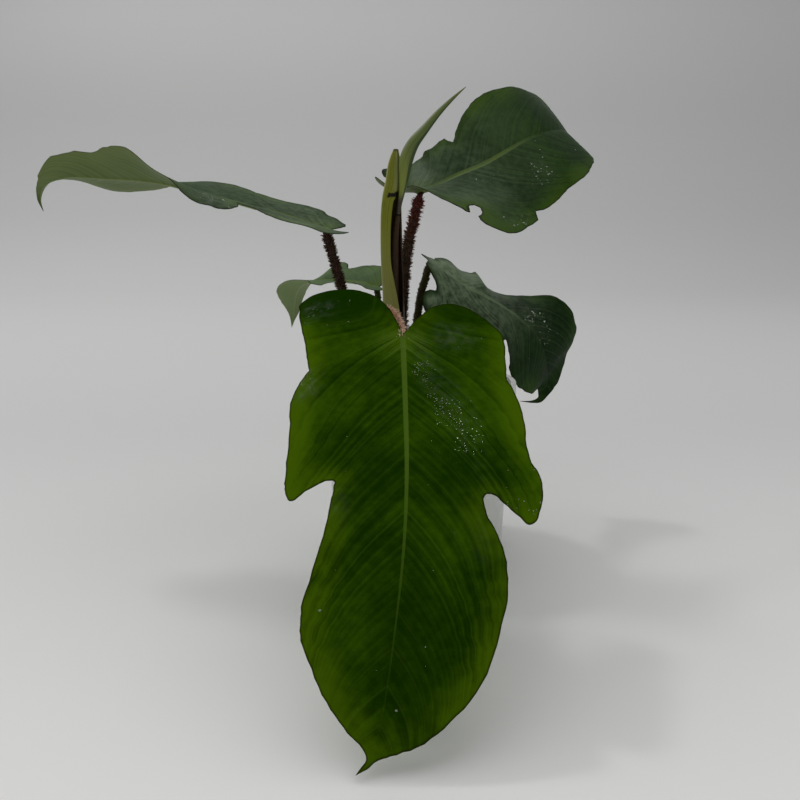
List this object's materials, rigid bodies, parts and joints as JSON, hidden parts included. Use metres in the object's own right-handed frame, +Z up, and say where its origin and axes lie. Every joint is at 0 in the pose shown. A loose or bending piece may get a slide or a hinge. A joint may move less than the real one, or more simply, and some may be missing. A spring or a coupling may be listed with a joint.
{
  "type": "potted philodendron squamiferum",
  "caption": "Young climbing philodendron with lobed blades on bristly red petioles, a rolled new leaf in an open sheath, growing in a round tapered nursery pot.",
  "frame": {"origin": "centre of the pot's underside", "axes": "+Z up, along the pot's axis; -Y towards the front leaf, +X to the right as seen from the front"},
  "size_m": [0.3673, 0.3735, 0.2971],
  "materials": {
    "leaf": "glossy leaf, darker along the middle",
    "petiole": "matt maroon with soft red bristles",
    "sheath": "satin yellow-green",
    "spear": "satin light green",
    "stem": "matt",
    "soil": "rough, crumbly",
    "pot": "satin white plastic"
  },
  "bodies": {
    "root": {"blade_front": "leaf", "blade_right": "leaf", "blade_left": "leaf", "blade_rear_right": "leaf", "blade_rear_left": "leaf", "petiole_front": "petiole", "petiole_right": "petiole", "petiole_left": "petiole", "petiole_rear_right": "petiole", "petiole_rear_left": "petiole", "new_petiole": "petiole", "sheath": "sheath", "spear": "spear", "stem": "stem", "soil": "soil", "pot": "pot"}
  },
  "joints": []
}
